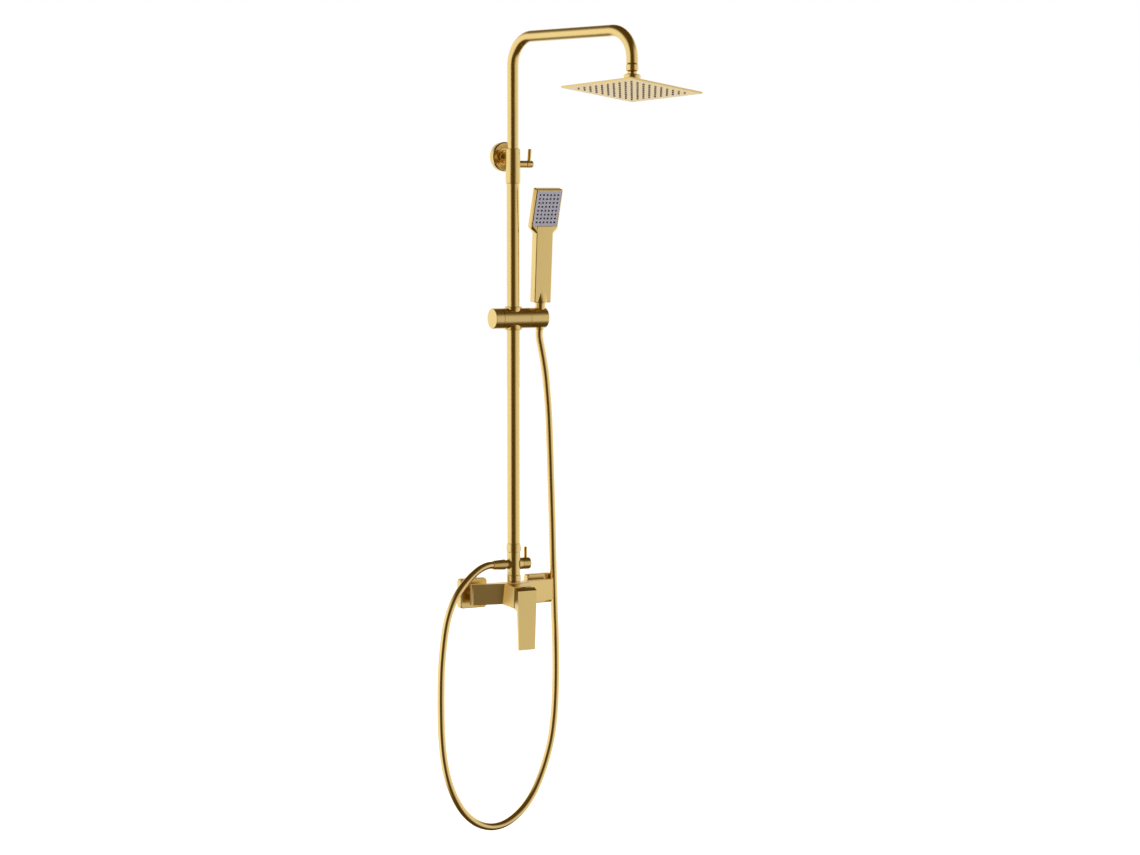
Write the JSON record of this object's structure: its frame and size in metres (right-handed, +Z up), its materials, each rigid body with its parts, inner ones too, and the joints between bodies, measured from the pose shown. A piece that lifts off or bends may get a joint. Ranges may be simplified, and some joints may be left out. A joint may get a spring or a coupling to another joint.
{
  "type": "rainfall shower column",
  "caption": "Wall-hung shower column: single-lever mixer, diverter, telescopic riser with swivel arm and square rain head, sliding holder, handset and hose.",
  "frame": {"origin": "on the finished wall, midway between the two wall inlets, at the height of the mixer's axis", "axes": "+X to the right as seen from the room, +Y into the wall, +Z up"},
  "size_m": [0.3573, 0.5178, 1.5802],
  "materials": {
    "brushed_gold": "brushed, satin",
    "hose_gold": "smooth satin hose cover",
    "raw_brass": "machined",
    "stainless": "machined",
    "ceramic": "polished ceramic",
    "nylon": "moulded",
    "rubber_black": "matt",
    "nozzle_grey": "soft silicone",
    "spray_grey": "satin",
    "plug_grey": "moulded"
  },
  "bodies": {
    "root": {"mixer_body": "brushed_gold", "eccentric_unions": "raw_brass", "union_nuts": "brushed_gold", "inlet_filters": "rubber_black", "wall_covers": "brushed_gold", "cartridge_body": "nylon", "cartridge_seals": "rubber_black", "fixed_disc": "ceramic", "cartridge_nut": "raw_brass", "outlet_washer": "rubber_black", "outlet_nut": "brushed_gold", "diverter_body": "brushed_gold", "diverter_cartridge": "nylon", "riser_o_ring": "rubber_black", "riser_nut": "brushed_gold", "lower_tube": "brushed_gold", "lock_sleeve": "brushed_gold", "guide_bush": "nylon", "wall_stem": "brushed_gold", "wall_flange": "brushed_gold", "wall_anchor": "stainless", "anchor_screws": "stainless", "wall_plugs": "plug_grey", "hose_nut": "brushed_gold", "hose": "hose_gold"},
    "temperature": {"moving_disc": "ceramic", "cartridge_carrier": "nylon", "stem_pin": "stainless"},
    "lever": {"lever_stem": "stainless", "mixer_lever": "brushed_gold", "lever_grub_screw": "stainless"},
    "diverter": {"diverter_spindle": "stainless", "diverter_knob": "brushed_gold", "diverter_pin": "brushed_gold"},
    "telescope": {"seal_carrier": "raw_brass", "carrier_o_ring": "rubber_black"},
    "arm": {"shower_arm": "brushed_gold", "arm_end": "brushed_gold", "arm_washer": "rubber_black", "ball_stud": "brushed_gold"},
    "ball_ring": {"ball_ring": "nylon"},
    "rain_head": {"head_socket": "brushed_gold", "socket_cap": "brushed_gold", "ball_seal": "rubber_black", "head_top": "brushed_gold", "head_face": "brushed_gold", "head_nozzle_mat": "nozzle_grey"},
    "lock_lever": {"lock_lever": "brushed_gold", "lock_lever_pin": "brushed_gold"},
    "lock_pad": {"lock_pad": "nylon"},
    "slider_bush": {"slider_bush": "brushed_gold"},
    "slider": {"slider_body": "brushed_gold", "holder_screw": "stainless"},
    "slider_knob": {"slider_knob": "brushed_gold"},
    "slider_pad": {"slider_pad": "nylon"},
    "holder": {"handset_holder": "brushed_gold"},
    "handset": {"handset": "brushed_gold", "spray_plate": "spray_grey", "spray_mat": "rubber_black", "hose_cone": "brushed_gold"}
  },
  "joints": [
    {"name": "mixer_temperature", "type": "hinge", "parent": "root", "child": "temperature", "pos_m": [0, -0.067, 0], "axis": [0, -1, 0], "range_deg": [-45, 45]},
    {"name": "mixer_flow", "type": "hinge", "parent": "temperature", "child": "lever", "pos_m": [0, -0.067, 0], "axis": [-1, 0, 0], "range_deg": [0, 20]},
    {"name": "diverter_turn", "type": "hinge", "parent": "root", "child": "diverter", "pos_m": [0.025, -0.042, 0.057], "axis": [1, 0, 0], "range_deg": [0, 90]},
    {"name": "riser_telescope", "type": "slide", "parent": "root", "child": "telescope", "axis": [0, 0, 1], "range_m": [-0.1, 0.2]},
    {"name": "arm_swivel", "type": "hinge", "parent": "telescope", "child": "arm", "pos_m": [0, -0.042, 0.878], "axis": [0, 0, 1], "range_deg": [-73, 47]},
    {"name": "head_swivel", "type": "hinge", "parent": "arm", "child": "ball_ring", "pos_m": [0.07648, -0.37329, 1], "axis": [0, 0, 1], "continuous": true},
    {"name": "head_tilt", "type": "hinge", "parent": "ball_ring", "child": "rain_head", "pos_m": [0.07648, -0.37329, 1], "axis": [-0.6388, 0.7694, 0], "range_deg": [-22.4, 7.6]},
    {"name": "lock_turn", "type": "hinge", "parent": "root", "child": "lock_lever", "pos_m": [0.03, -0.042, 0.848], "axis": [1, 0, 0], "range_deg": [-8, 82]},
    {"name": "lock_pad_slide", "type": "slide", "parent": "root", "child": "lock_pad", "axis": [1, 0, 0], "range_m": [-0.00005, 0.0003]},
    {"name": "slider_slide", "type": "slide", "parent": "root", "child": "slider_bush", "axis": [0, 0, 1], "range_m": [-0.4, 0.032], "deforming": ["hose"]},
    {"name": "slider_swivel", "type": "hinge", "parent": "slider_bush", "child": "slider", "pos_m": [0, -0.042, 0.545], "axis": [0, 0, 1], "range_deg": [-28, 5], "deforming": ["hose"]},
    {"name": "knob_turn", "type": "hinge", "parent": "slider", "child": "slider_knob", "pos_m": [-0.03, -0.042, 0.545], "axis": [1, 0, 0], "range_deg": [0, 120]},
    {"name": "slider_pad_slide", "type": "slide", "parent": "slider", "child": "slider_pad", "axis": [-1, 0, 0], "range_m": [0, 0.0002]},
    {"name": "holder_tilt", "type": "hinge", "parent": "slider", "child": "holder", "pos_m": [0.06, -0.042, 0.545], "axis": [1, 0, 0], "range_deg": [0, 36], "deforming": ["hose"]},
    {"name": "handset_lift", "type": "slide", "parent": "holder", "child": "handset", "axis": [0, -0.0698, 0.9976], "range_m": [0, 0.055], "deforming": ["hose"]}
  ],
  "couplings": [
    {"joint": "lock_pad_slide", "follows": "lock_turn", "m_per_rad": 0.0002},
    {"joint": "slider_pad_slide", "follows": "knob_turn", "m_per_rad": 0.00009}
  ]
}
